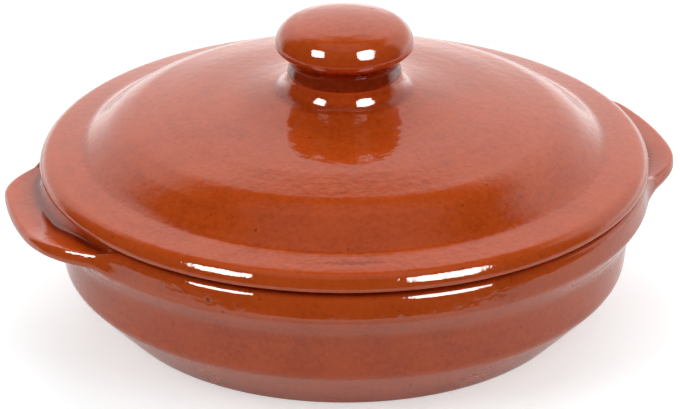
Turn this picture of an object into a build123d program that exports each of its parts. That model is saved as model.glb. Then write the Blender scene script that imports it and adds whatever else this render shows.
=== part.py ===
"""Round glazed terracotta casserole with two lug handles and a domed lid with a turned knob.

The dish and the lid are turned forms, so each is one half section spun about +Z. The origin is
the centre of the foot, +Z is up and the handles lie along +X and -X. Sizes are in millimetres.
"""
from build123d import *
from math import atan2, cos, radians, sin, sqrt, tan
import os

# Driving dimensions: the dish
band_radius = 100.3  # outside of the rolled rim band, without the handles
band_height = 8.2  # from the band's lower crease up to the rim's flat top
band_projection = 5.8  # how far the band stands out past the top of the wall
dish_height = 48.7  # foot to the rim's flat top
flare_height = 8.2  # cove that carries the wall out to the band
wall_lean = 1.7  # how far the wall leans out from the shoulder to the cove
shoulder_height = 17.4  # soft edge between the foot cone and the wall
base_radius = 76.0  # flat foot that the dish stands on
wall_thickness = 6.4
floor_thickness = 7.0
rim_width = 10.3  # from the outside of the band in to the mouth
inner_cove_drop = 3.2  # how far the inside cove starts below the outside one

# Driving dimensions: the handles
handle_projection = 12.5  # from the band out to the outermost edge of a lug
handle_tip_angle = 15.5  # half angle where the round tip turns into the flank, in degrees
handle_root_angle = 24.6  # half angle where the flank runs into the band, in degrees
handle_thickness = 5.4
handle_drop = 2.7  # from the rim's flat top down to the lug's top

# Driving dimensions: the lid
lid_inset = 0.3  # how far the lid's edge stays inside the outside of the band
lid_edge_thickness = 5.0
lid_edge_gap = 1.5  # open shadow gap between the lid's edge and the rim's flat top
seat_width = 3.0  # ring of the rim's flat top that carries the lid
flange_width = 16.0  # from the lid's edge in to the foot of the dome
flange_rise = 2.6  # how far the flange climbs over that width
dome_height = 23.5  # from the foot of the dome to the tip of the low cone that is its crown
crown_slope = 11.5  # of that cone, in degrees
flank_slope = 43.0  # of the steep flank between the crown and the flange, in degrees
lid_thickness = 6.0
locating_depth = 5.2  # ring that drops into the mouth and centres the lid
locating_thickness = 5.0
locating_clearance = 1.5  # all round, between that ring and the mouth
collar_step = 0.8  # how far the lid's collar stands out past the knob's neck
collar_rise = 1.2  # how far the collar stands above the tip of the crown's cone

# Driving dimensions: the knob
knob_radius = 22.6
knob_height = 18.6  # from the collar to the crown
knob_crown_radius = 76.0  # low dome of the knob's top
knob_ridge_height = 8.4  # from the collar to the lower edge of the head
neck_radius = 17.8
neck_height = 5.0

# Roundings
foot_rounding = 1.6
shoulder_rounding = 5.0
cove_rounding = 9.0
crease_rounding = 1.6
rim_rounding = 3.3
mouth_rounding = 1.5
inner_floor_rounding = 16.0
inner_shoulder_rounding = 12.0
inner_cove_rounding = 10.0
inner_crease_rounding = 6.0
lug_edge_rounding = 2.3
lug_corner_rounding = 30.0
dome_rounding = 30.0  # of the shoulder between the dome's crown and its flank
valley_rounding = 8.0
lid_edge_rounding = 2.3
collar_rounding = 0.6
collar_cove_rounding = 4.5
locating_rounding = 1.4
lid_hollow_rounding = 3.5
seat_edge_rounding = 0.5
knob_edge_rounding = 7.2
knob_ridge_rounding = 2.0
knob_neck_rounding = 2.0
knob_foot_rounding = 0.5
rounding_share = 0.9  # a rounding takes at most this share of the shorter side beside it

# Sizes that follow from them: the dish
mouth_radius = band_radius - rim_width
crease_height = dish_height - band_height
wall_top_height = crease_height - flare_height
wall_top_radius = band_radius - band_projection
shoulder_radius = wall_top_radius - wall_lean
inner_wall_radius = wall_top_radius - wall_thickness
inner_wall_height = wall_top_height - inner_cove_drop
inner_shoulder_radius = inner_wall_radius - wall_lean
handle_reach = band_radius + handle_projection
lug_top = dish_height - handle_drop

# The inside of the foot cone runs parallel to its outside, one wall thickness away
cone_slope = (shoulder_radius - base_radius) / shoulder_height
cone_wall_width = wall_thickness / sin(atan2(1, cone_slope))
inner_floor_radius = base_radius + floor_thickness * cone_slope - cone_wall_width
inner_shoulder_height = (inner_shoulder_radius + cone_wall_width - base_radius) / cone_slope

# Sizes that follow from them: the lid and the knob
lid_radius = band_radius - lid_inset
seat_radius = mouth_radius + mouth_rounding + seat_width
lid_edge_bottom = dish_height + lid_edge_gap
lid_edge_top = lid_edge_bottom + lid_edge_thickness
dome_foot_radius = lid_radius - flange_width
dome_foot_height = lid_edge_top + flange_rise
dome_top_height = dome_foot_height + dome_height
locating_radius = mouth_radius - locating_clearance
locating_inner_radius = locating_radius - locating_thickness
locating_bottom = dish_height - locating_depth
collar_radius = neck_radius + collar_step
collar_foot_radius = collar_radius + collar_rounding
collar_height = dome_top_height + collar_rise
crown_height = collar_height + knob_height
crown_centre_height = crown_height - knob_crown_radius


def cone_z(radius, inset=0.0):
    """Height of the lid's conical crown, or of one inside it by the inset, at a radius."""
    slope = radians(crown_slope)
    return dome_top_height - radius * tan(slope) - inset / cos(slope)


def flank_z(radius, inset=0.0):
    """Height of the lid's steep flank, or of one inside it by the inset, at a radius."""
    slope = radians(flank_slope)
    return dome_foot_height + (dome_foot_radius - radius) * tan(slope) - inset / cos(slope)


def dome_shoulder(inset=0.0):
    """Corner of the half section where the lid's crown meets its flank, inside by the inset."""
    climb = flank_z(0, inset) - cone_z(0, inset)
    radius = climb / (tan(radians(flank_slope)) - tan(radians(crown_slope)))
    return (radius, cone_z(radius, inset))


def knob_crown_z(radius):
    """Height of the knob's low dome at a radius from the axis."""
    return crown_centre_height + sqrt(knob_crown_radius**2 - radius**2)


def round_corners(section, roundings):
    """Round each corner of a half section, given as (radius, height), within its two sides."""
    for place, rounding in roundings:
        corner = section.vertices().sort_by_distance(place)[0]
        sides = [side for side in section.edges() if corner in side.vertices()]
        leaving = []
        for side in sides:
            starts_here = side.position_at(0) == Vector(corner)
            leaving.append(side % 0 if starts_here else -(side % 1))
        half_angle = radians(leaving[0].get_angle(leaving[1])) / 2
        shorter_side = min(side.length for side in sides)
        fillet(corner, min(rounding, rounding_share * shorter_side * tan(half_angle)))


# The bowl: foot cone, leaning wall, cove, rolled rim band and flat rim top
with BuildPart() as bowl:
    with BuildSketch(Plane.XZ) as bowl_section:
        foot_edge = (base_radius, 0)
        shoulder = (shoulder_radius, shoulder_height)
        wall_top = (wall_top_radius, wall_top_height)
        crease = (band_radius, crease_height)
        rim_outer = (band_radius, dish_height)
        rim_inner = (mouth_radius, dish_height)
        inner_crease = (mouth_radius, crease_height)
        inner_wall_top = (inner_wall_radius, inner_wall_height)
        inner_shoulder = (inner_shoulder_radius, inner_shoulder_height)
        inner_floor_edge = (inner_floor_radius, floor_thickness)
        with BuildLine():
            Polyline(
                (0, 0),
                foot_edge,
                shoulder,
                wall_top,
                crease,
                rim_outer,
                rim_inner,
                inner_crease,
                inner_wall_top,
                inner_shoulder,
                inner_floor_edge,
                (0, floor_thickness),
                close=True,
            )
        make_face()
        round_corners(
            bowl_section,
            [
                (foot_edge, foot_rounding),
                (shoulder, shoulder_rounding),
                (wall_top, cove_rounding),
                (crease, crease_rounding),
                (rim_outer, rim_rounding),
                (rim_inner, mouth_rounding),
                (inner_crease, inner_crease_rounding),
                (inner_wall_top, inner_cove_rounding),
                (inner_shoulder, inner_shoulder_rounding),
                (inner_floor_edge, inner_floor_rounding),
            ],
        )
    revolve(axis=Axis.Z)
bowl.part.label = "bowl"


def make_handle(middle_angle):
    """One flat lug with rounded edges, cut to the bowl's own outside so that it meets the band."""
    root_radius = band_radius - rim_width / 2  # inside the clay of the rim, so the cut is clean
    tip_end = Vector(handle_reach, 0).rotate(Axis.Z, handle_tip_angle)
    root_end = Vector(root_radius, 0).rotate(Axis.Z, handle_root_angle)
    lug_plane = Plane.XY.offset(lug_top - handle_thickness).rotated((0, 0, middle_angle))
    with BuildPart() as lug:
        with BuildSketch(lug_plane) as outline:
            with BuildLine():
                CenterArc((0, 0), handle_reach, -handle_tip_angle, 2 * handle_tip_angle)
                CenterArc((0, 0), root_radius, -handle_root_angle, 2 * handle_root_angle)
                flank = Line(tip_end, root_end)
                mirror(flank, about=Plane.XZ)
            make_face()
            tip_corners = outline.vertices().group_by(Axis.X)[-1]
            fillet(tip_corners, lug_corner_rounding)
        extrude(amount=handle_thickness)
        flat_faces = lug.faces().filter_by(Plane.XY)
        fillet(flat_faces.edges(), lug_edge_rounding)
        add(bowl.part, mode=Mode.SUBTRACT)
    return lug.part


right_handle = make_handle(0)
right_handle.label = "right_handle"
left_handle = make_handle(180)
left_handle.label = "left_handle"


# The lid: collar, dome, flange, round edge, flat seat, locating ring and hollow underside
with BuildPart() as lid:
    with BuildSketch(Plane.XZ) as lid_section:
        collar_edge = (collar_radius, collar_height)
        collar_foot = (collar_foot_radius, cone_z(collar_foot_radius))
        crown_shoulder = dome_shoulder()
        dome_foot = (dome_foot_radius, dome_foot_height)
        edge_top = (lid_radius, lid_edge_top)
        edge_bottom = (lid_radius, lid_edge_bottom)
        gap_end = (seat_radius + lid_edge_gap, lid_edge_bottom)
        seat_edge = (seat_radius, dish_height)
        locating_root = (locating_radius, dish_height)
        locating_outer = (locating_radius, locating_bottom)
        locating_inner = (locating_inner_radius, locating_bottom)
        hollow_edge = (locating_inner_radius, flank_z(locating_inner_radius, lid_thickness))
        hollow_shoulder = dome_shoulder(lid_thickness)
        hollow_top = (0, cone_z(0, lid_thickness))
        with BuildLine():
            Polyline(
                hollow_top,
                (0, collar_height),
                collar_edge,
                collar_foot,
                crown_shoulder,
                dome_foot,
                edge_top,
                edge_bottom,
                gap_end,
                seat_edge,
                locating_root,
                locating_outer,
                locating_inner,
                hollow_edge,
                hollow_shoulder,
                close=True,
            )
        make_face()
        round_corners(
            lid_section,
            [
                (collar_edge, collar_rounding),
                (collar_foot, collar_cove_rounding),
                (crown_shoulder, dome_rounding),
                (dome_foot, valley_rounding),
                (edge_top, lid_edge_rounding),
                (edge_bottom, lid_edge_rounding),
                (gap_end, seat_edge_rounding),
                (seat_edge, seat_edge_rounding),
                (locating_outer, locating_rounding),
                (locating_inner, locating_rounding),
                (hollow_edge, lid_hollow_rounding),
                (hollow_shoulder, dome_rounding - lid_thickness),
            ],
        )
    revolve(axis=Axis.Z)
lid.part.label = "lid"


# The knob: neck, undercut ridge and low crown, solid clay throughout
with BuildPart() as knob:
    with BuildSketch(Plane.XZ) as knob_section:
        knob_foot = (neck_radius, collar_height)
        neck_top = (neck_radius, collar_height + neck_height)
        ridge = (knob_radius, collar_height + knob_ridge_height)
        crown_edge = (knob_radius, knob_crown_z(knob_radius))
        crown_middle = (knob_radius / 2, knob_crown_z(knob_radius / 2))
        crown_top = (0, crown_height)
        with BuildLine():
            Polyline(crown_top, (0, collar_height), knob_foot, neck_top, ridge, crown_edge)
            ThreePointArc(crown_edge, crown_middle, crown_top)
        make_face()
        round_corners(
            knob_section,
            [
                (knob_foot, knob_foot_rounding),
                (neck_top, knob_neck_rounding),
                (ridge, knob_ridge_rounding),
                (crown_edge, knob_edge_rounding),
            ],
        )
    revolve(axis=Axis.Z)
knob.part.label = "knob"


os.makedirs("parts", exist_ok=True)
for piece in (bowl.part, left_handle, right_handle, lid.part, knob.part):
    export_step(piece, "parts/" + piece.label + ".step")
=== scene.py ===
"""Glazed terracotta casserole with a domed lid: clay, glaze and a plain studio around the frame.

Each piece is a half section with rounded corners, turned about +Z, and takes the place of the
solid of the same name. Sizes are in metres, in the frame's own axes.
"""
import math

import bmesh
import bpy
from bpy.props import FloatProperty, FloatVectorProperty, IntProperty, PointerProperty
from bpy.types import Operator, Panel, PropertyGroup
from mathutils import Matrix, Vector, noise


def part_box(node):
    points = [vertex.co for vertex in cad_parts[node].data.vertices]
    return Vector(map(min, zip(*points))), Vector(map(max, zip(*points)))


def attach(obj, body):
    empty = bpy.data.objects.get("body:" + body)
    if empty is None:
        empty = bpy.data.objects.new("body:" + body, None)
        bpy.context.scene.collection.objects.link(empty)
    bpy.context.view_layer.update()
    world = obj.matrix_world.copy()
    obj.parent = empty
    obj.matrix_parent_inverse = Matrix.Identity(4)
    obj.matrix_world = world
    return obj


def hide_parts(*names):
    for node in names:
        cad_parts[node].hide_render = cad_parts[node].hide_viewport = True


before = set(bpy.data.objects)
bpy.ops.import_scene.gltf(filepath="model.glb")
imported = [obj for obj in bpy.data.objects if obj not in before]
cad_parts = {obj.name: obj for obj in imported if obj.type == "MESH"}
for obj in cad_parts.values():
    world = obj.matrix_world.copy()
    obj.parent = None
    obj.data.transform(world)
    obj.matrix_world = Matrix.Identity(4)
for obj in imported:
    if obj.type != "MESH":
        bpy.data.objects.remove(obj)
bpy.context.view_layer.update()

bl_info = {
    "name": "Terracotta Casserole",
    "version": (1, 0, 0),
    "blender": (4, 5, 0),
    "location": "3D View > Sidebar > Casserole",
    "description": "Turns a glazed casserole dish with its lid, handles and knob, and lights it",
    "category": "Add Mesh",
}

BOWL_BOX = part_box("bowl")
LID_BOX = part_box("lid")
KNOB_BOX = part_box("knob")
HANDLE_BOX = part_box("right_handle")
PHOTO_WIDTH = 680
SENSOR_WIDTH = 36

# Spacing of a section's points while it is softened, rounds of softening, segments of a corner.
WORKING_STEP = 0.0002
SOFTENING_PASSES = 8
CORNER_SEGMENTS = 12

# Steps of a sector's spin, and distances under which two points of a mesh are one.
SPIN_STEPS = 7
WELD_REACH, LUG_WELD_REACH = 2e-6, 1e-6

# The strip of the rim that a lug takes up, its skin over the band and its layer under the skin.
PATCH_WIDTH = 0.0050
SKIN_DEPTH, INNER_DEPTH = 0.00002, 0.0001

# Steps along a lug, points from each corner of its section to the next, length that a bend adds.
LUG_TURNS = 144
LUG_STATIONS = (4, 20, 26, 22, 26, 14, 10)
BEND_LENGTH = 0.0015

# Angle from a lug's middle at which its front flank starts to differ, and how softly.
FLANK_START, FLANK_SOFTNESS = math.radians(4), math.radians(11)

# Angle at which that flank starts to be pressed back, how softly, and the share it is full at.
PRESS_START, PRESS_SOFTNESS, PRESS_SHARE = math.radians(7), math.radians(6), 0.45

# Angle over which the pressed rim starts at each end of a lug.
RUN_OUT = math.radians(1.6)

# Reach and share of the two blurs that tell hollows from edges.
GLAZE_SPREADS = ((0.0014, 0.5), (0.0042, 1.6))

# Depth from which deep glaze and painted shade darken the colour, depth past it that still counts,
# and tone per depth.
POOL_AND_SHADE_START, POOL_AND_SHADE_LIMIT = 120.0, 210.0
POOL_AND_SHADE_TONE, EDGE_TONE = -0.0013, -0.00015

# Height of the line under which the clay is bare, how softly it starts and how ragged it is.
BARE_HEIGHTS = {"dish": 0.0007, "lid": LID_BOX[0].z + 0.0006}
BARE_SOFTNESS, BARE_RAGGEDNESS = 0.0004, 0.0003

# A mark is its radius, its degrees round the axis, its height, its size, its share and its colour.
# The middle part of the size runs round the axis, along a circle of the mark radius.
MARK_RADIUS = 0.1
PALE_RING = (0.60, 0.190, 0.090, 1)
DARK_SPOT = (0.09, 0.010, 0.003, 1)
SMUDGE = (0.24, 0.026, 0.006, 1)
MARKS = {
    "dish": (
        (0.0998, -132.9, 0.0438, (0.0022, 0.0022, 0.0016), 0.30, PALE_RING),
        (0.0998, -132.9, 0.0438, (0.0020, 0.0009, 0.0007), 0.80, DARK_SPOT),
        (0.0982, -143.7, 0.0376, (0.0020, 0.0012, 0.0008), 0.60, DARK_SPOT),
        (0.1001, -129.9, 0.0407, (0.0020, 0.0008, 0.0008), 0.60, DARK_SPOT),
    ),
    "lid": (
        (0.0913, -106.0, 0.0567, (0.0013, 0.0150, 0.0040), 0.85, SMUDGE),
        (0.0129, 27.9, 0.1000, (0.0010, 0.0080, 0.0040), 0.80, DARK_SPOT),
        (0.0810, -127.8, 0.0607, (0.0009, 0.0009, 0.0020), 0.60, DARK_SPOT),
    ),
}


def length(name, description, default):
    """A size in metres that a user can change in the sidebar."""
    return FloatProperty(
        name=name, description=description, default=default, unit="LENGTH", precision=5
    )


def slope(name, description, degrees):
    """A slope that a user can change in the sidebar, given here in degrees."""
    return FloatProperty(
        name=name, description=description, default=math.radians(degrees), subtype="ANGLE"
    )


def amount(name, description, default):
    """A plain number that a user can change in the sidebar."""
    return FloatProperty(name=name, description=description, default=default, precision=5)


def tint(name, description, default):
    """A colour that a user can change in the sidebar."""
    return FloatVectorProperty(
        name=name, description=description, default=default, subtype="COLOR", size=4
    )


class CasseroleDish(PropertyGroup):
    """Sizes of the dish's half section."""

    base_radius: length("Foot radius", "Flat foot that the dish stands on", 0.0760)
    shoulder_height: length("Shoulder height", "Edge between foot cone and wall", 0.0174)
    wall_lean: length("Wall lean", "How far the wall leans out as it rises", 0.0017)
    wall: length("Wall", "Thickness of the wall", 0.0064)
    floor: length("Floor", "Thickness of the floor", 0.0070)
    band_height: length("Band height", "Rolled band, from its crease to the rim", 0.0082)
    band_projection: length("Band projection", "How far the band stands out", 0.0058)
    band_lean: length("Band lean", "How far the band stays back at the rim", 0.0012)
    flare_height: length("Flare height", "Cove that carries the wall out to the band", 0.0082)
    rim_width: length("Rim width", "From the outside of the band in to the mouth", 0.0103)


class CasseroleLug(PropertyGroup):
    """Sizes that differ from one lug to the other, as they were shaped by hand."""

    reach: length("Reach", "From the axis to the lug's edge", HANDLE_BOX[1].x)
    crest: length("Crest", "Height of the upper edge", HANDLE_BOX[1].z)
    root: length("Root", "Height of the underside beside the band", HANDLE_BOX[0].z)
    undercut: length("Undercut", "How far the lower edge stays back", 0)
    press: length("Press", "How far the front flank's upper edge was pressed back", 0.0014)
    climb: length("Climb", "How much higher the front flank stands", 0)
    # Painted shade: extra glaze depth that darkens the lug's plate beside the band, under the lid's
    # edge.
    pool: amount("Pool", "Depth of the glaze pooled beside the band", 70)
    turn: slope("Turn", "How far the lug was set round from the dish's own axis", 0)


class CasseroleHandles(PropertyGroup):
    """Sizes that the two lugs share; both are drawn out of the band."""

    left: PointerProperty(type=CasseroleLug)
    right: PointerProperty(type=CasseroleLug)
    flank_distance: length("Flank distance", "Axis to the straight line of a flank", 0.0851)
    flank_angle: slope("Flank angle", "Direction square to a flank, from the lug's middle", 56.5)
    drop_share: amount("Drop share", "Part of the reach in which a lug drops to its height", 0.35)
    corner_softness: length("Corner softness", "How softly tip turns into flank", 0.0087)
    root_softness: length("Root softness", "How softly a flank runs into the band", 0.0040)


class CasseroleLid(PropertyGroup):
    """Sizes of the lid's half section."""

    edge_thickness: length("Edge thickness", "Round edge of the flange", 0.0050)
    edge_gap: length("Edge gap", "Shadow gap between the edge and the rim", 0.0015)
    flange_width: length("Flange width", "Edge to the foot of the dome", 0.0149)
    flange_slope: slope("Flange slope", "How steeply the flange climbs to the dome", 9.2)
    flank_slope: slope("Flank slope", "Steep outer part of the dome", 37.1)
    shoulder_radius: length("Shoulder radius", "Where flank turns into crown", 0.07305)
    outer_slope: slope("Outer slope", "Crown beside the shoulder", 11.55)
    middle_radius: length("Middle radius", "Where the crown is flattest", 0.0550)
    middle_slope: slope("Middle slope", "Crown between shoulder and bell", 8.0)
    bell_radius: length("Bell radius", "Where the crown starts to climb to the collar", 0.0320)
    bell_slope: slope("Bell slope", "Crown beside the collar", 15.0)
    thickness: length("Thickness", "Thickness of the dome", 0.0060)
    collar_radius: length("Collar radius", "Raised foot that carries the knob", 0.0186)
    locating_clearance: length("Locating clearance", "Gap round the ring in the mouth", 0.0015)
    locating_thickness: length("Locating thickness", "Width of the ring in the mouth", 0.0050)


class CasseroleKnob(PropertyGroup):
    """Sizes of the knob's half section."""

    neck_radius: length("Neck radius", "Narrow part under the head", 0.0175)
    neck_height: length("Neck height", "Collar to the top of the neck", 0.0038)
    ridge_height: length("Ridge height", "Collar to the head's lower edge", 0.0084)
    crown_radius: length("Crown radius", "Low dome of the top", 0.0760)
    # Painted shade: extra glaze depth that darkens the neck, under the knob's head.
    pool: amount("Pool", "Depth of the glaze pooled round the neck", 320)


class CasseroleClay(PropertyGroup):
    """Marks that the wheel and the hand leave in the clay."""

    doublings: IntProperty(
        name="Doublings", description="A sector is doubled this often to a full turn", default=6
    )
    step: length("Step", "Longest step between the points of a section", 0.0020)
    bend: slope("Bend", "Sharpest bend between the points of a section", 5.5)
    ring_depth: length("Ring depth", "Relief of the throwing rings", 0.00008)
    ring_width: length("Ring width", "From one throwing ring to the next", 0.009)


class CasseroleGlaze(PropertyGroup):
    """Colours of the glaze and the clay, and how uneven they are."""

    # The darkest two tones fill hollows: partly glaze that lies deep there, partly painted shade,
    # which is also laid round the knob's neck and on the lugs beside the band.
    pooled: tint("Pooled", "Where the glaze lies deepest", (0.090, 0.0060, 0.0009, 1))
    dark: tint("Dark", "Where the glaze is a little deep", (0.290, 0.0320, 0.0030, 1))
    plain: tint("Plain", "On the walls and the dome", (0.430, 0.0590, 0.0068, 1))
    thin: tint("Thin", "Where the glaze ran off", (0.590, 0.0930, 0.0220, 1))
    speck: tint("Speck", "Small specks all over", (0.085, 0.012, 0.004, 1))
    dark_clay: tint("Dark clay", "Darker grains of the bare clay", (0.40, 0.135, 0.060, 1))
    light_clay: tint("Light clay", "Lighter grains of the bare clay", (0.56, 0.205, 0.095, 1))
    clouds: amount("Clouds", "Strength of the wide mottling", 0.26)
    grain: amount("Grain", "Strength of the fine mottling", 0.34)
    rings: amount("Rings", "Strength of the rings in the colour", 0.10)
    specks: amount("Specks", "Strength of the specks", 0.55)
    relief: length("Relief", "Depth of the uneven skin", 0.00009)


class CasseroleLamp(PropertyGroup):
    """One soft box, placed as it is seen from the dish."""

    azimuth: slope("Azimuth", "Direction round the dish; 0 is where the camera stands", 0)
    elevation: slope("Elevation", "Height over the table", 39)
    roll: slope("Roll", "How far the box leans sideways", 0)
    distance: length("Distance", "From the dish", 1.10)
    width: length("Width", "Across the box", 0.50)
    height: length("Height", "Along the box", 0.84)


class CasseroleStudio(PropertyGroup):
    """Camera, table, lamps and what the glaze mirrors."""

    left_lamp: PointerProperty(type=CasseroleLamp)
    right_lamp: PointerProperty(type=CasseroleLamp)
    back_lamp: PointerProperty(type=CasseroleLamp)
    azimuth: slope("Azimuth", "How far the camera stands round from the front", -18.0)
    elevation: slope("Elevation", "How high the camera stands", 24.48)
    pitch: slope("Pitch", "How far the camera looks down", 24.96)
    distance: length("Distance", "From the camera to the middle of the dish", 1.2)
    target: length("Target", "Height that the camera's elevation is measured from", 0.045)
    side: length("Side", "How far the camera stands off the dish's axis", -0.00145)
    focal_pixels: amount("Focal length", "In pixels of the photograph", 3641)
    lamp_power: amount("Lamp power", "Of each soft box", 4.9)
    back_power: amount("Back power", "Of the lamp behind", 11.5)
    highlight: amount("Highlight", "Brightness of a soft box as the glaze mirrors it", 26)
    sweep_light: amount("Sweep light", "Of the white sweep", 1.22)
    horizon_light: amount("Horizon light", "Of the sweep behind the table", 1.7)
    ceiling_light: amount("Ceiling light", "Overhead", 0.34)
    room_light: amount("Room light", "Of the dark room", 0.03)
    sweep_middle: slope("Sweep middle", "Direction of the sweep's middle", 170)
    sweep_half_width: slope("Sweep half width", "To each side of its middle", 66)
    sweep_top: slope("Sweep top", "Elevation of its upper edge", 48.5)
    sweep_fade: slope("Sweep fade", "How gently it darkens at its upper edge", 7.5)
    sweep_softness: slope("Sweep softness", "Of its edges", 10)
    floor_radius: length("Floor radius", "Of the round table top", 0.40)
    floor_front: length("Floor front", "From the dish's axis to the table's front edge", 0.27)
    floor_white: amount("Floor white", "Share of plain white in the table for the camera", 0.28)
    floor_glow: amount("Floor glow", "Share of plain white in the table for the glaze", 0.08)
    floor_light: amount("Floor light", "Brightness of the plain white", 1.80)
    floor: tint("Floor", "Colour of the table", (0.855, 0.95, 0.965, 1))


def section_points(corners):
    """Close, even points of a half section, from (radius, height, rounding) corners."""
    bm = bmesh.new()
    verts = [bm.verts.new((radius, 0, height)) for radius, height, _ in corners]
    for pair in zip(verts, verts[1:]):
        bm.edges.new(pair)
    first, last = verts[0], verts[-1]
    for vert, corner in zip(verts[1:-1], corners[1:-1]):
        if corner[2] > 0:
            sides = [edge.other_vert(vert).co - vert.co for edge in vert.link_edges]
            offset = corner[2] / math.tan(sides[0].angle(sides[1]) / 2)
            bmesh.ops.bevel(
                bm, geom=[vert], offset=offset, offset_type="OFFSET", segments=CORNER_SEGMENTS,
                profile=0.5, affect="VERTICES", material=-1, clamp_overlap=True,
            )
    points, edge, vert = [first.co.copy()], first.link_edges[0], first
    while vert != last:
        vert = edge.other_vert(vert)
        points.append(vert.co.copy())
        edge = [other for other in vert.link_edges if other != edge or vert == last][0]
    bm.free()
    extent = sum((after - before).length for before, after in zip(points, points[1:]))
    points = evenly(points, int(extent / WORKING_STEP))
    for _ in range(SOFTENING_PASSES):
        softer = [
            (before + after) / 4 + here / 2
            for before, here, after in zip(points, points[1:], points[2:])
        ]
        points = points[:1] + softer + points[-1:]
    return points


def evenly(points, count, for_bend=0.0):
    """The same line through a given number of points, evenly spaced but closer in bends."""
    least_span = 1e-9
    lengths = [0.0]
    heading = points[1] - points[0]
    for start, end in zip(points, points[1:]):
        bend = heading.angle(end - start, 0)
        heading = end - start
        lengths.append(lengths[-1] + heading.length + bend * for_bend)
    even, place = [], 0
    for number in range(count):
        wanted = lengths[-1] * number / (count - 1)
        while place < len(points) - 2 and lengths[place + 1] < wanted:
            place += 1
        span = max(lengths[place + 1] - lengths[place], least_span)
        share = (wanted - lengths[place]) / span
        even.append(points[place].lerp(points[place + 1], min(share, 1)))
    return even


def spaced(points, longest, sharpest):
    """Fewer of the points, each a share of the longest step and of the sharpest bend on."""
    kept, used = [points[0]], 0.0
    for before, here, after in zip(points, points[1:], points[2:]):
        used += (here - before).length / longest
        used += (here - before).angle(after - here, 0) / sharpest
        if used >= 1:
            kept.append(here)
            used = 0.0
    return kept + [points[-1]]


def glaze_depths(points):
    """How deep the glaze lies at each point: over 0 in hollows, under 0 on edges; the hollows are
    darkened as deep glaze and as painted shade.
    """
    area = sum(here.x * after.z - after.x * here.z for here, after in zip(points, points[1:]))
    inwards = -1 if area > 0 else 1
    bends = [0.0]
    for before, here, after in zip(points, points[1:], points[2:]):
        first, second = here - before, after - here
        turn = first.x * second.z - first.z * second.x
        span = (first.length + second.length) / 2
        turn /= first.length * second.length
        bends.append(inwards * math.asin(max(min(turn, 1), -1)) / span)
    bends.append(0.0)
    spans = [(after - before).length for before, after in zip(points, points[2:])]
    spans = [spans[0], *spans, spans[-1]]
    depths = [0.0] * len(points)
    for spread, share in GLAZE_SPREADS:
        for number, here in enumerate(points):
            near = [
                span * math.exp(-(((other - here).length / spread) ** 2))
                for other, span in zip(points, spans)
            ]
            bent = sum(bend * weight for bend, weight in zip(bends, near))
            depths[number] += share * bent / sum(near)
    return depths


def wire(bm, points, depths=None):
    """The points as verts joined by edges, each with the depth of its glaze."""
    layer = bm.verts.layers.float.new("glaze")
    verts = [bm.verts.new(point) for point in points]
    for vert, depth in zip(verts, depths or glaze_depths(points)):
        vert[layer] = depth
    edges = [bm.edges.new(pair) for pair in zip(verts, verts[1:])]
    return verts, edges


def turned(points, clay, depths=None, fewer=0):
    """A closed mesh: the half section spun through a sector, and the sector doubled to a turn."""
    doublings = clay.doublings - fewer
    sector = math.tau / 2**doublings
    bm = bmesh.new()
    verts, edges = wire(bm, points, depths)
    bmesh.ops.spin(
        bm, geom=verts + edges, cent=(0, 0, 0), axis=(0, 0, 1),
        angle=sector, steps=SPIN_STEPS,
    )
    for number in range(doublings):
        made = bmesh.ops.duplicate(bm, geom=bm.verts[:] + bm.edges[:] + bm.faces[:])
        bmesh.ops.rotate(
            bm, verts=[part for part in made["geom"] if isinstance(part, bmesh.types.BMVert)],
            cent=(0, 0, 0), matrix=Matrix.Rotation(sector * 2**number, 3, "Z"),
        )
    bmesh.ops.remove_doubles(bm, verts=bm.verts, dist=WELD_REACH)
    bmesh.ops.recalc_face_normals(bm, faces=bm.faces)
    throwing_relief(bm, clay)
    return bm


def throwing_relief(bm, clay):
    """Sinks the surface a little along rings, deeper in some turns than in others."""
    level, swing = 0.7, 0.3
    drift, patches = 6, 22
    bm.normal_update()
    sinks = []
    for vert in bm.verts:
        radius = math.hypot(vert.co.x, vert.co.y)
        ring = Vector((radius / clay.ring_width, vert.co.z / clay.ring_width, vert.co.x * drift))
        wander = level + swing * noise.noise(vert.co * patches)
        sinks.append(vert.normal * clay.ring_depth * (0.5 + 0.5 * noise.noise(ring)) * wander)
    for vert, sink in zip(bm.verts, sinks):
        vert.co -= sink


def add_object(name, data):
    """Adds an object with the data to the scene."""
    made = bpy.data.objects.new(name, data)
    bpy.context.scene.collection.objects.link(made)
    return made


def add_mesh(name, bm, material):
    """Adds an object with the bmesh as its mesh."""
    mesh = bpy.data.meshes.new(name)
    bm.to_mesh(mesh)
    bm.free()
    mesh.materials.append(material)
    return add_object(name, mesh)


def piece(name, bm, body, glaze, nodes):
    """Makes a smooth shaded object from the bmesh, riding on a body in place of its nodes."""
    obj = add_mesh(name, bm, glaze_material(glaze, body))
    for polygon in obj.data.polygons:
        polygon.use_smooth = True
    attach(obj, body)
    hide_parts(*nodes)


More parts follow.
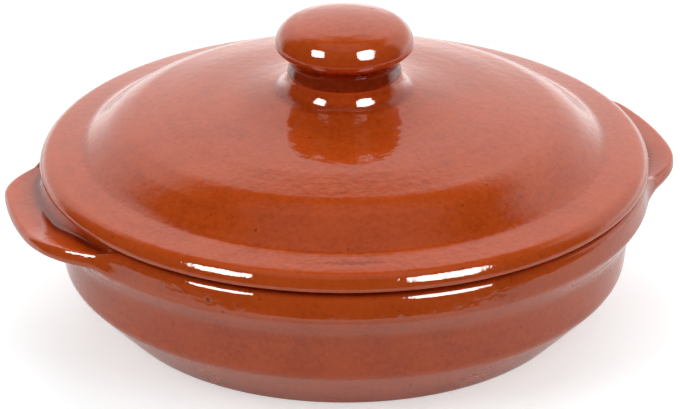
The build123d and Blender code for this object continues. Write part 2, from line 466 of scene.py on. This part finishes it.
def dish_points(settings):
    """The bowl's half section, from the middle of its foot round to the middle of its floor."""
    dish = settings.dish
    band, rim = BOWL_BOX[1].x, BOWL_BOX[1].z
    mouth = band - dish.rim_width
    crease = rim - dish.band_height
    wall_top = crease - dish.flare_height
    wall_radius = band - dish.band_projection
    shoulder = wall_radius - dish.wall_lean
    inside = wall_radius - dish.wall
    cone_slope = (shoulder - dish.base_radius) / dish.shoulder_height
    cone_width = dish.wall * math.hypot(1, cone_slope)
    inner_floor = dish.base_radius + dish.floor * cone_slope - cone_width
    inner_shoulder = inside - dish.wall_lean
    inner_shoulder_height = (inner_shoulder + cone_width - dish.base_radius) / cone_slope
    inner_cove = wall_top - 0.0032
    corners = [
        (0, 0, 0),
        (dish.base_radius, 0, 0.0016),
        (shoulder, dish.shoulder_height, 0.0060),
        (wall_radius, wall_top, 0.0100),
        (band, crease, 0.0020),
        (band - dish.band_lean, rim, 0.0024),
        (mouth, rim, 0.0015),
        (mouth, crease, 0.0060),
        (inside, inner_cove, 0.0100),
        (inner_shoulder, inner_shoulder_height, 0.0120),
        (inner_floor, dish.floor, 0.0160),
        (0, dish.floor, 0),
    ]
    return spaced(section_points(corners), settings.clay.step, settings.clay.bend)


def lug_section(settings, share, lug, press=0.0, front=0.0):
    """The band's own section at share 0, drawn out to the lug's section at share 1."""
    dish = settings.dish
    band, rim = BOWL_BOX[1].x, BOWL_BOX[1].z
    crease = rim - dish.band_height
    lip = HANDLE_BOX[0].z + 0.0006 + lug.climb * front
    flare_slope = dish.band_projection / dish.flare_height
    high, low, lowest = 0.0010, 0.0022, 0.0052
    drop = smooth_step(share / settings.handles.drop_share)
    crest = lug.crest + lug.climb * front
    back, sag, tighter = 0.0022 * front, 0.0006 * front, 0.0008 * front
    start = (band - PATCH_WIDTH, rim, 0)
    ends = [
        (band - low * flare_slope, crease - low, 0.0030),
        (band - lowest * flare_slope, crease - lowest, 0),
    ]
    plain = [
        start,
        (band - 0.0042, rim, 0.0010),
        (band - 0.0036, rim, 0.0030),
        (band - dish.band_lean, rim, 0.0024),
        (band, crease, 0.0020),
        (band - high * flare_slope, crease - high, 0.0030),
        *ends,
    ]
    drawn = [
        start,
        (band - 0.0040, rim, 0.0010),
        (band + 0.0002 - back, crest - 0.0002 - sag, 0.0020 - tighter),
        (lug.reach - 0.0008, crest, 0.0014),
        (lug.reach - lug.undercut, lip + lug.undercut / 3, 0.0022),
        (band + 0.0016, lug.root, 0.0042),
        *ends,
    ]
    corners = []
    for here, there in zip(plain, drawn):
        radius = here[0] + (there[0] - here[0]) * share
        height = here[1] + (there[1] - here[1]) * drop
        corners.append((radius, height, here[2] + (there[2] - here[2]) * drop))
    radius, height, rounding = corners[3]
    corners[3] = (radius - press, height, rounding - press / 2)
    return stationed(section_points(corners), corners)


def stationed(points, corners):
    """A lug's section through a set number of points between each corner and the next."""
    marks = [0]
    for radius, height, _ in corners[1:-1]:
        corner = Vector((radius, 0, height))
        near = range(marks[-1] + 1, len(points) - 1)
        marks.append(min(near, key=lambda number: (points[number] - corner).length))
    marks.append(len(points) - 1)
    stations = []
    for start, end, count in zip(marks, marks[1:], LUG_STATIONS):
        stations += evenly(points[start : end + 1], count + 1, BEND_LENGTH)[:-1]
    return stations + points[-1:]


def smooth_step(value):
    """0 below 0, 1 above 1, with a soft change between them."""
    value = min(max(value, 0), 1)
    return value * value * (3 - 2 * value)


def smooth_lower(first, second, softness):
    """The lower of two values, with the change from one to the other rounded off."""
    blend = max(softness - abs(first - second), 0) / softness
    return min(first, second) - blend * blend * softness / 4


def lug_share(settings, angle, lug):
    """How far a lug stands out at an angle from its middle: 1 at its tip, 0 at the band."""
    handles = settings.handles
    band = BOWL_BOX[1].x
    flank = handles.flank_distance / math.cos(abs(angle) - handles.flank_angle)
    outline = smooth_lower(lug.reach, flank, handles.corner_softness)
    outline = -smooth_lower(-outline, -band, handles.root_softness)
    return (outline - band) / (lug.reach - band)


def lug_half_angle(settings):
    """Angle from a lug's middle to where it has run out into the band."""
    handles = settings.handles
    band = BOWL_BOX[1].x
    run_out = handles.flank_distance / (band - handles.root_softness)
    return handles.flank_angle - math.acos(run_out)


def pressed_rim(settings, place, middle, lug):
    """Where a point of the bowl lies, once its rim is pressed in to take a lug."""
    dish = settings.dish
    back = Matrix.Rotation(-middle, 3, "Z") @ place
    angle, radius = math.atan2(back.y, back.x), math.hypot(back.x, back.y)
    inside = lug_half_angle(settings) - abs(angle) - RUN_OUT
    if inside <= 0:
        return place
    inner_softness, lower_softness = 0.0016, 0.0020
    light_press, drawn_press = 0.0004, 0.0030
    inner_edge = BOWL_BOX[1].x - PATCH_WIDTH + 0.0004
    lower_edge = BOWL_BOX[1].z - dish.band_height - 0.0042
    share = smooth_step((radius - inner_edge) / inner_softness)
    share *= smooth_step((place.z - lower_edge) / lower_softness)
    drop = smooth_step(lug_share(settings, angle, lug) / settings.handles.drop_share)
    depth = share * smooth_step(inside / RUN_OUT) * (light_press + drawn_press * drop)
    outwards = Vector((place.x / radius, place.y / radius, 1))
    return place - outwards * depth


def lug_mesh(settings, middle, lug):
    """A closed lug: the band's own skin, drawn outwards over an inner layer that stays back."""
    half = lug_half_angle(settings)
    plain = lug_section(settings, 0, lug)
    bm = bmesh.new()
    station = bm.verts.layers.int.new("station")
    verts, edges = wire(bm, plain)
    glaze = bm.verts.layers.float["glaze"]
    for number, vert in enumerate(verts):
        vert[station] = number
    first_turn = Matrix.Rotation(middle - half, 3, "Z")
    bmesh.ops.rotate(bm, verts=verts, cent=(0, 0, 0), matrix=first_turn)
    bmesh.ops.spin(
        bm, geom=verts + edges, cent=(0, 0, 0), axis=(0, 0, 1),
        angle=2 * half, steps=LUG_TURNS,
    )
    bmesh.ops.recalc_face_normals(bm, faces=bm.faces)
    bm.normal_update()
    if sum(face.normal.dot(face.calc_center_median()) for face in bm.faces) < 0:
        bmesh.ops.reverse_faces(bm, faces=bm.faces)
    throwing_relief(bm, settings.clay)
    for vert in bm.verts:
        vert.co += vert.normal * SKIN_DEPTH
    made = bmesh.ops.duplicate(bm, geom=bm.verts[:] + bm.edges[:] + bm.faces[:])
    bm.normal_update()
    made_verts = [element for element in made["geom"] if isinstance(element, bmesh.types.BMVert)]
    inner = {vert: vert.normal.copy() for vert in made_verts}
    bmesh.ops.reverse_faces(
        bm, faces=[element for element in made["geom"] if isinstance(element, bmesh.types.BMFace)]
    )
    back = Matrix.Rotation(-middle, 3, "Z")
    sections = {}
    for vert in bm.verts:
        if vert in inner:
            if not vert.is_boundary:
                vert.co -= inner[vert] * INNER_DEPTH
                vert.co = pressed_rim(settings, vert.co, middle, lug)
            continue
        place = back @ vert.co
        angle = math.atan2(place.y, place.x)
        turn = round((angle + half) / (2 * half) * LUG_TURNS)
        if turn not in sections:
            share = lug_share(settings, angle, lug) if 0 < turn < LUG_TURNS else 0
            front = -angle if math.cos(middle) > 0 else angle
            press = lug.press * smooth_step((front - PRESS_START) / PRESS_SOFTNESS)
            press *= smooth_step(share / PRESS_SHARE)
            flank = smooth_step((front - FLANK_START) / FLANK_SOFTNESS)
            section = lug_section(settings, share, lug, press, flank)
            sections[turn] = section, glaze_depths(section)
        section, depths = sections[turn]
        number = vert[station]
        # Painted shade: the plate beside the band, under the lid's edge, gets extra glaze depth and
        # shows darker.
        near_band = (sum(LUG_STATIONS[:3]) - number) / LUG_STATIONS[2]
        pool = smooth_step(near_band) * smooth_step(number / LUG_STATIONS[0])
        drop = smooth_step(lug_share(settings, angle, lug) / settings.handles.drop_share)
        vert[glaze] = depths[number] + lug.pool * pool * drop
        moved = section[number] - plain[number]
        vert.co += Matrix.Rotation(middle + angle, 3, "Z") @ moved
    for edge in bm.edges:
        edge.smooth = not edge.is_boundary
    bmesh.ops.remove_doubles(bm, verts=bm.verts, dist=LUG_WELD_REACH)
    return bm


def sphere_height(centre, sphere, radius):
    """Height on a sphere about the axis at a radius from the axis."""
    return centre + math.sqrt(sphere * sphere - radius * radius)


def lid_points(settings):
    """The lid's half section, from the middle of its collar round to the middle of its hollow."""
    lid, dish = settings.lid, settings.dish
    seat, mouth = BOWL_BOX[1].z, BOWL_BOX[1].x - dish.rim_width
    edge = LID_BOX[1].x
    edge_bottom = seat + lid.edge_gap
    edge_top = edge_bottom + lid.edge_thickness
    ring = mouth - lid.locating_clearance
    ring_inner = ring - lid.locating_thickness
    ring_bottom = LID_BOX[0].z
    recess_edge, recess_top = mouth + 0.0045, mouth + 0.0060
    collar_flare = 0.0006
    places = [
        (edge, 0, 0.0046),
        (edge - lid.flange_width, lid.flange_slope, 0.0072),
        (lid.shoulder_radius, lid.flank_slope, 0.0240),
        (lid.middle_radius, lid.outer_slope, 0.1300),
        (lid.bell_radius, lid.middle_slope, 0.1100),
        (lid.collar_radius + collar_flare, lid.bell_slope, 0.0062),
    ]
    outside, before, height = [], edge, edge_top
    for radius, climb, rounding in places:
        height += (before - radius) * math.tan(climb)
        outside.append((radius, height, rounding))
        before = radius
    flank, outer = lid.flank_slope, lid.outer_slope
    shoulder_inside = lid.shoulder_radius - lid.thickness * math.tan((flank + outer) / 2)
    shoulder_height = outside[2][1] - lid.thickness
    middle = 0.0180
    hollow_top = shoulder_height + (shoulder_inside - middle) * math.tan(outer)
    corners = [
        (0, LID_BOX[1].z, 0),
        (lid.collar_radius, LID_BOX[1].z, 0.0006),
        *reversed(outside),
        (edge, edge_bottom, 0.0011),
        (recess_top, edge_bottom, 0.0006),
        (recess_edge, seat, 0.0005),
        (ring, seat, 0.0008),
        (ring, ring_bottom, 0.0014),
        (ring_inner, ring_bottom, 0.0014),
        (ring_inner, shoulder_height - (ring_inner - shoulder_inside) * math.tan(flank), 0.0035),
        (shoulder_inside, shoulder_height, 0.0240),
        (middle, hollow_top, 0.0600),
        (0, hollow_top, 0),
    ]
    points = section_points(corners)
    just_over = edge_bottom + 1e-6
    seen = next(number for number, point in enumerate(points) if point.z < just_over) + 1
    step, bend = settings.clay.step, settings.clay.bend
    longer_step, sharper_bend = 2 * step, 3 * bend
    return spaced(points[:seen], step, bend) + spaced(points[seen:], longer_step, sharper_bend)


def knob_points(settings):
    """The knob's half section, from its foot, luted over the collar, to the middle of its crown."""
    knob = settings.knob
    bottom, top, widest = KNOB_BOX[0].z, KNOB_BOX[1].z, KNOB_BOX[1].x
    centre = top - knob.crown_radius
    collar = settings.lid.collar_radius
    buried = bottom - 0.0016
    corners = [
        (0, buried, 0),
        (collar - 0.00015, buried, 0),
        (collar + 0.0001, bottom - 0.0003, 0.0012),
        (knob.neck_radius, bottom + knob.neck_height, 0.0016),
        (widest, bottom + knob.ridge_height, 0.0020),
        (widest, sphere_height(centre, knob.crown_radius, widest), 0.0072),
    ]
    crown_share, crown_steps = 0.62, 10
    crown_start = widest * crown_share
    for number in range(crown_steps + 1):
        radius = crown_start * (1 - number / crown_steps)
        corners.append((radius, sphere_height(centre, knob.crown_radius, radius), 0))
    return spaced(section_points(corners), settings.clay.step / 2, settings.clay.bend)


def knob_depths(settings, points):
    """How dark the knob's glaze is: depths from its curves, with painted shade laid round the neck
    under the head.
    """
    knob = settings.knob
    foot, ridge = KNOB_BOX[0].z - 0.0018, KNOB_BOX[0].z + knob.ridge_height
    foot_softness, ridge_softness = 0.0014, 0.0020
    depths = []
    for depth, point in zip(glaze_depths(points), points):
        # Painted shade under the head: the neck takes the set shade depth in place of its own.
        neck = smooth_step((point.z - foot) / foot_softness)
        neck *= smooth_step((ridge - point.z) / ridge_softness)
        depths.append(depth + (knob.pool - depth) * neck)
    return depths


class CASSEROLE_OT_bowl(Operator):
    """Turn the bowl with its band, rim and flat foot"""

    bl_idname = "casserole.bowl"
    bl_label = "Bowl"

    def execute(self, context):
        settings = context.scene.casserole
        bm = turned(dish_points(settings), settings.clay)
        inner_edge = BOWL_BOX[1].x - PATCH_WIDTH
        right, left = settings.handles.right, settings.handles.left
        for vert in bm.verts:
            if math.hypot(vert.co.x, vert.co.y) > inner_edge:
                vert.co = pressed_rim(settings, vert.co, right.turn, right)
                vert.co = pressed_rim(settings, vert.co, math.pi + left.turn, left)
        piece("bowl_glazed", bm, "dish", settings.glaze, ["bowl"])
        return {"FINISHED"}


class CASSEROLE_OT_handles(Operator):
    """Draw the two lugs out of the band"""

    bl_idname = "casserole.handles"
    bl_label = "Handles"

    def execute(self, context):
        settings = context.scene.casserole
        lugs = [
            ("right_handle", 0.0, settings.handles.right),
            ("left_handle", math.pi, settings.handles.left),
        ]
        for name, middle, lug in lugs:
            bm = lug_mesh(settings, middle + lug.turn, lug)
            piece(name + "_glazed", bm, "dish", settings.glaze, [name])
        return {"FINISHED"}


class CASSEROLE_OT_lid(Operator):
    """Turn the lid with its dome, flange, collar and locating ring"""

    bl_idname = "casserole.lid"
    bl_label = "Lid"

    def execute(self, context):
        settings = context.scene.casserole
        bm = turned(lid_points(settings), settings.clay)
        piece("lid_glazed", bm, "lid", settings.glaze, ["lid"])
        return {"FINISHED"}


class CASSEROLE_OT_knob(Operator):
    """Turn the knob with its neck, foot and head"""

    bl_idname = "casserole.knob"
    bl_label = "Knob"

    def execute(self, context):
        settings = context.scene.casserole
        points = knob_points(settings)
        bm = turned(points, settings.clay, knob_depths(settings, points), fewer=1)
        piece("knob_glazed", bm, "lid", settings.glaze, ["knob"])
        return {"FINISHED"}


def feed(tree, made, **values):
    """Links or sets the inputs of a node, by name or number."""
    for name, value in values.items():
        key = int(name[1:]) if name[0] == "i" and name[1:].isdigit() else name.replace("_", " ")
        if isinstance(value, bpy.types.NodeSocket):
            tree.links.new(value, made.inputs[key])
        else:
            made.inputs[key].default_value = value


def node(tree, kind, operation=None, **values):
    """Adds a node, with its operation and its inputs."""
    made = tree.nodes.new("ShaderNode" + kind)
    if operation:
        made.operation = operation
    feed(tree, made, **values)
    return made


def ramp(tree, value, low, high, start=0.0, end=1.0):
    """A smooth step of the value from start at low to end at high."""
    made = node(tree, "MapRange", Value=value, From_Min=low, From_Max=high)
    made.interpolation_type = "SMOOTHSTEP"
    feed(tree, made, To_Min=start, To_Max=end)
    return made.outputs["Result"]


def math_node(tree, operation, *parts):
    """The result of a Math node on sockets or numbers."""
    inputs = {"i" + str(number): part for number, part in enumerate(parts)}
    return node(tree, "Math", operation, **inputs).outputs[0]


def noise_node(tree, place, scale, detail, roughness):
    """The value of a Noise Texture, 0 to 1 and mostly near 0.5."""
    made = node(tree, "TexNoise", Vector=place, Scale=scale, Detail=detail, Roughness=roughness)
    return made.outputs["Fac"]


def colour_ramp(tree, value, stops):
    """A colour that follows the value through (position, colour) stops."""
    made = node(tree, "ValToRGB", Fac=value)
    elements = made.color_ramp.elements
    while len(elements) < len(stops):
        elements.new(0.5)
    for element, (position, colour) in zip(elements, stops):
        element.position = position
        element.color = colour
    return made.outputs["Color"]


def mix_colour(tree, share, first, second):
    """The first colour, with a share of the second laid over it."""
    made = node(tree, "Mix")
    made.data_type = "RGBA"
    feed(tree, made, Factor=share, i6=first, i7=second)
    return made.outputs[2]


def add_marks(tree, marks, around, pattern, colour):
    """The colour with a few marks from the kiln on it, ragged by the pattern."""
    raggedness, edge, outside = 1.6, 1.1, 1.8
    for radius, degrees, height, size, share, mark in marks:
        centre = (radius, math.radians(degrees) * MARK_RADIUS, height)
        away = node(tree, "VectorMath", "SUBTRACT", i0=around, i1=centre)
        away = node(tree, "VectorMath", "DIVIDE", i0=away.outputs[0], i1=size)
        away = node(tree, "VectorMath", "LENGTH", i0=away.outputs[0]).outputs["Value"]
        away = math_node(tree, "MULTIPLY_ADD", pattern, raggedness, away)
        colour = mix_colour(tree, ramp(tree, away, edge, outside, share, 0), colour, mark)
    return colour


def glaze_material(glaze, name):
    """Clear brown glaze over red clay: thin on edges, darker in hollows as deep glaze and painted
    shade, bare where it stood.
    """
    bare_height = BARE_HEIGHTS[name]
    marks = MARKS[name]
    name = "glazed_terracotta_" + name
    material = bpy.data.materials.get(name)
    if material:
        return material
    material = bpy.data.materials.new(name)
    material.use_nodes = True
    tree = material.node_tree
    shader = tree.nodes["Principled BSDF"]
    place = node(tree, "TexCoord").outputs["Object"]
    x, y, height = node(tree, "SeparateXYZ", Vector=place).outputs
    radius = node(tree, "VectorMath", "LENGTH", i0=node(tree, "CombineXYZ", X=x, Y=y).outputs[0])
    rings = node(tree, "CombineXYZ", X=radius.outputs["Value"], Y=height)
    wobble = (0.03,) * 3
    rings = node(tree, "VectorMath", "MULTIPLY_ADD", i0=place, i1=wobble, i2=rings.outputs[0])

    depth = node(tree, "Attribute")
    depth.attribute_name = "glaze"
    clouds = noise_node(tree, place, scale=75, detail=6, roughness=0.62)
    grain = noise_node(tree, place, scale=620, detail=3, roughness=0.70)
    throwing = noise_node(tree, rings.outputs[0], scale=330, detail=3, roughness=0.55)
    # Deep spots darken the colour: glaze lying deep in hollows, and painted shade in hollows, round
    # the knob's neck and on the lugs beside the band.
    pooled = math_node(tree, "SUBTRACT", depth.outputs["Fac"], POOL_AND_SHADE_START)
    pooled = math_node(tree, "MINIMUM", math_node(tree, "MAXIMUM", pooled, 0.0), POOL_AND_SHADE_LIMIT)
    thin = math_node(tree, "MINIMUM", depth.outputs["Fac"], 0.0)
    tone = math_node(tree, "MULTIPLY", pooled, POOL_AND_SHADE_TONE)
    tone = math_node(tree, "MULTIPLY_ADD", thin, EDGE_TONE, tone)
    middle_tone = 0.5
    mottling = ((clouds, glaze.clouds), (grain, glaze.grain), (throwing, glaze.rings))
    for pattern, weight in mottling:
        off_middle = math_node(tree, "SUBTRACT", pattern, middle_tone)
        tone = math_node(tree, "MULTIPLY_ADD", off_middle, weight, tone)
    tone = math_node(tree, "ADD", tone, middle_tone)
    tones = ((0.05, glaze.pooled), (0.35, glaze.dark), (0.52, glaze.plain), (0.90, glaze.thin))
    colour = colour_ramp(tree, tone, tones)

    specks = node(tree, "TexVoronoi", Vector=place, Scale=480)
    chance = node(tree, "SeparateColor", Color=specks.outputs["Color"]).outputs[0]
    dot = math_node(
        tree, "MULTIPLY",
        ramp(tree, specks.outputs["Distance"], low=0.10, high=0.26, start=1, end=0),
        ramp(tree, chance, low=0.90, high=0.94),
    )
    dot = math_node(tree, "MULTIPLY", dot, glaze.specks)
    colour = mix_colour(tree, dot, colour, glaze.speck)
    angle = math_node(tree, "MULTIPLY", math_node(tree, "ARCTAN2", y, x), MARK_RADIUS)
    around = node(tree, "CombineXYZ", X=radius.outputs["Value"], Y=angle, Z=height).outputs[0]
    colour = add_marks(tree, marks, around, grain, colour)
    ragged = math_node(tree, "MULTIPLY_ADD", clouds, BARE_RAGGEDNESS, height)
    bare = ramp(tree, ragged, bare_height, bare_height + BARE_SOFTNESS, start=1, end=0)
    clay = colour_ramp(tree, grain, ((0.3, glaze.dark_clay), (0.7, glaze.light_clay)))
    colour = mix_colour(tree, bare, colour, clay)

    glossiest, dullest, bare_roughness = 0.035, 0.075, 0.8
    gloss = ramp(tree, clouds, low=0.35, high=0.70, start=glossiest, end=dullest)
    rough = math_node(tree, "MULTIPLY_ADD", bare, bare_roughness, gloss)

    grain_relief, ring_relief = 0.14, 0.55
    peel = noise_node(tree, place, scale=300, detail=2, roughness=0.5)
    relief = math_node(tree, "MULTIPLY", grain, grain_relief)
    relief = math_node(tree, "MULTIPLY_ADD", throwing, ring_relief, relief)
    relief = math_node(tree, "ADD", relief, peel)
    bump = node(tree, "Bump", Height=relief, Strength=1.0, Distance=glaze.relief).outputs[0]
    feed(tree, shader, Base_Color=colour, Roughness=rough, IOR=1.5, Normal=bump)
    return material


def make_camera(scene, studio):
    """The camera of the photograph: a long lens that looks down on the dish."""
    data = bpy.data.cameras.new("camera")
    data.sensor_width = SENSOR_WIDTH
    data.lens = studio.focal_pixels / PHOTO_WIDTH * data.sensor_width
    data.clip_end = 100
    camera = add_object("camera", data)
    rise, tilt = studio.elevation, studio.pitch
    place = Vector((
        studio.side,
        -studio.distance * math.cos(rise),
        studio.target + studio.distance * math.sin(rise),
    ))
    camera.matrix_world = (
        Matrix.Rotation(studio.azimuth, 4, "Z")
        @ Matrix.Translation(place)
        @ Matrix.Rotation(math.pi / 2 - tilt, 4, "X")
    )
    scene.camera = camera


def make_lamp(studio, name, lamp, power):
    """A soft box that faces the dish; the world holds its image for the highlights."""
    data = bpy.data.lights.new(name, "AREA")
    data.shape = "RECTANGLE"
    data.size, data.size_y = lamp.width, lamp.height
    data.energy = power
    obj = add_object(name, data)
    around = Matrix.Rotation(studio.azimuth + lamp.azimuth, 4, "Z")
    tilt = Matrix.Rotation(math.pi / 2 - lamp.elevation, 4, "X")
    centre = Matrix.Translation((0, 0, studio.target))
    away = Matrix.Translation((0, 0, lamp.distance))
    obj.matrix_world = centre @ around @ tilt @ away @ Matrix.Rotation(lamp.roll, 4, "Z")
    obj.visible_camera = False
    obj.visible_glossy = False
    obj.visible_transmission = False


def soft_box(tree, direction, lamp):
    """1 where a direction, turned so that the camera is at -Y, meets the soft box, else 0."""
    faced = node(tree, "Mapping", Vector=direction, Rotation=(0, 0, -lamp.azimuth)).outputs[0]
    level = node(tree, "Mapping", Vector=faced, Rotation=(lamp.elevation, lamp.roll, 0))
    side, back, up = node(tree, "SeparateXYZ", Vector=level.outputs[0]).outputs
    nearest, squareness = 0.001, 4.0
    ahead = math_node(tree, "MAXIMUM", math_node(tree, "MULTIPLY", back, -1.0), nearest)
    away = 0.0
    for offset, extent in ((side, lamp.width), (up, lamp.height)):
        half = extent / lamp.distance / 2
        part = math_node(tree, "DIVIDE", math_node(tree, "DIVIDE", offset, ahead), half)
        part = math_node(tree, "POWER", math_node(tree, "ABSOLUTE", part, 0.0), squareness)
        away = math_node(tree, "ADD", part, away)
    return ramp(tree, away, low=0.65, high=1.35, start=1, end=0)


def make_world(scene, studio):
    """White for the camera; to the glaze, a bright sweep behind, a dim ceiling, a dark front."""
    world = bpy.data.worlds.new("studio")
    world.use_nodes = True
    tree = world.node_tree
    direction = node(tree, "TexCoord").outputs["Generated"]
    turn_back = (0, 0, -studio.azimuth)
    direction = node(tree, "Mapping", Vector=direction, Rotation=turn_back).outputs[0]
    right, back, up = node(tree, "SeparateXYZ", Vector=direction).outputs
    level = node(tree, "CombineXYZ", X=right, Y=back)
    level = node(tree, "VectorMath", "NORMALIZE", i0=level.outputs[0])
    middle = (math.sin(studio.sweep_middle), -math.cos(studio.sweep_middle), 0)
    facing = node(tree, "VectorMath", "DOT_PRODUCT", i0=level.outputs[0], i1=middle)
    half, soft = studio.sweep_half_width, studio.sweep_softness
    sweep = ramp(tree, facing.outputs["Value"], math.cos(half + soft), math.cos(half - soft))
    top, fade = studio.sweep_top, studio.sweep_fade
    sweep_top = ramp(tree, up, math.sin(top - fade), math.sin(top + fade), 1, 0)
    sweep = math_node(tree, "MULTIPLY", sweep, sweep_top)
    low, high = -0.05, 0.25
    horizon = ramp(tree, up, low, high, studio.horizon_light, studio.sweep_light)
    sweep = math_node(tree, "MULTIPLY", sweep, horizon)
    ceiling_edge, ceiling_full = math.radians(60), math.radians(76)
    ceiling = ramp(tree, up, math.sin(ceiling_edge), math.sin(ceiling_full))
    around = math_node(tree, "MULTIPLY_ADD", ceiling, studio.ceiling_light, sweep)
    around = math_node(tree, "ADD", around, studio.room_light)
    path = node(tree, "LightPath")
    lamps = studio.left_lamp, studio.right_lamp
    boxes = math_node(tree, "ADD", *[soft_box(tree, direction, lamp) for lamp in lamps])
    boxes = math_node(tree, "MULTIPLY", boxes, studio.highlight)
    around = math_node(tree, "MULTIPLY_ADD", boxes, path.outputs["Is Glossy Ray"], around)
    strength = math_node(tree, "MAXIMUM", around, path.outputs["Is Camera Ray"])
    feed(tree, tree.nodes["Background"], Strength=strength, Color=(1, 1, 1, 1))
    scene.world = world


def make_floor(studio):
    """A pale round table top that ends a little way in front of the dish."""
    bm = bmesh.new()
    bmesh.ops.create_circle(bm, cap_ends=True, segments=128, radius=studio.floor_radius)
    bmesh.ops.translate(bm, verts=bm.verts, vec=(0, studio.floor_radius - studio.floor_front, 0))
    bmesh.ops.rotate(
        bm, verts=bm.verts, cent=(0, 0, 0), matrix=Matrix.Rotation(studio.azimuth, 3, "Z")
    )
    material = bpy.data.materials.new("floor")
    material.use_nodes = True
    tree = material.node_tree
    shader = tree.nodes["Principled BSDF"]
    feed(tree, shader, Base_Color=studio.floor, Roughness=0.9, Specular_IOR_Level=0)
    path = node(tree, "LightPath")
    white = node(tree, "Emission", Strength=studio.floor_light)
    share = ramp(tree, path.outputs["Is Camera Ray"], 0, 1, studio.floor_glow, studio.floor_white)
    mix = node(tree, "MixShader", Fac=share, i1=shader.outputs[0], i2=white.outputs[0])
    feed(tree, tree.nodes["Material Output"], Surface=mix.outputs[0])
    floor = add_mesh("floor", bm, material)


class CASSEROLE_OT_studio(Operator):
    """Set up the camera, the world, the floor and the lamps"""

    bl_idname = "casserole.studio"
    bl_label = "Studio"

    def execute(self, context):
        scene, studio = context.scene, context.scene.casserole.studio
        scene.view_settings.view_transform = "Standard"
        make_camera(scene, studio)
        make_world(scene, studio)
        make_floor(studio)
        make_lamp(studio, "left_lamp", studio.left_lamp, studio.lamp_power)
        make_lamp(studio, "right_lamp", studio.right_lamp, studio.lamp_power)
        make_lamp(studio, "back_lamp", studio.back_lamp, studio.back_power)
        return {"FINISHED"}


class CasseroleSettings(PropertyGroup):
    """All the settings of the casserole."""

    dish: PointerProperty(type=CasseroleDish)
    handles: PointerProperty(type=CasseroleHandles)
    lid: PointerProperty(type=CasseroleLid)
    knob: PointerProperty(type=CasseroleKnob)
    clay: PointerProperty(type=CasseroleClay)
    glaze: PointerProperty(type=CasseroleGlaze)
    studio: PointerProperty(type=CasseroleStudio)


class CASSEROLE_PT_panel(Panel):
    """Sidebar panel that lists the operators"""

    bl_label = "Casserole"
    bl_idname = "CASSEROLE_PT_panel"
    bl_space_type = "VIEW_3D"
    bl_region_type = "UI"
    bl_category = "Casserole"

    def draw(self, context):
        for step in STEPS:
            self.layout.operator("casserole." + step)


STEPS = ("bowl", "handles", "lid", "knob", "studio")
CLASSES = (
    CasseroleDish,
    CasseroleLug,
    CasseroleHandles,
    CasseroleLid,
    CasseroleKnob,
    CasseroleClay,
    CasseroleGlaze,
    CasseroleLamp,
    CasseroleStudio,
    CasseroleSettings,
    CASSEROLE_OT_bowl,
    CASSEROLE_OT_handles,
    CASSEROLE_OT_lid,
    CASSEROLE_OT_knob,
    CASSEROLE_OT_studio,
    CASSEROLE_PT_panel,
)


def register():
    for cls in CLASSES:
        bpy.utils.register_class(cls)
    bpy.types.Scene.casserole = PointerProperty(type=CasseroleSettings)


def unregister():
    del bpy.types.Scene.casserole
    for cls in reversed(CLASSES):
        bpy.utils.unregister_class(cls)


def assign(group, **values):
    """Sets some of a group's settings by name."""
    for name, value in values.items():
        setattr(group, name, value)


def shape_lugs(handles):
    """Gives each lug the sizes read from the photograph."""
    left_turn, right_turn = math.radians(0.5), math.radians(1.0)
    assign(handles.left, reach=0.1123, crest=0.0454, root=0.0406, climb=0.0016, turn=left_turn)
    # The right lug's 240 is painted shade beside the band, under the lid's edge.
    assign(handles.right, reach=0.1125, root=0.0394, undercut=0.0018, pool=240, turn=right_turn)


def place_lamps(studio):
    """Stands the soft boxes where the knob mirrors them, and the third lamp behind the dish."""
    left, right = studio.left_lamp, studio.right_lamp
    assign(left, azimuth=math.radians(-52), roll=math.radians(20), width=0.38, height=0.62)
    assign(right, azimuth=math.radians(43), roll=math.radians(-17))
    assign(studio.back_lamp, azimuth=math.radians(175), elevation=math.radians(54))
    assign(studio.back_lamp, distance=1.4, width=1.5, height=1.0)


def main():
    """Makes every piece and the studio."""
    register()
    shape_lugs(bpy.context.scene.casserole.handles)
    place_lamps(bpy.context.scene.casserole.studio)
    for step in STEPS:
        getattr(bpy.ops.casserole, step)()


if __name__ == "__main__":
    main()
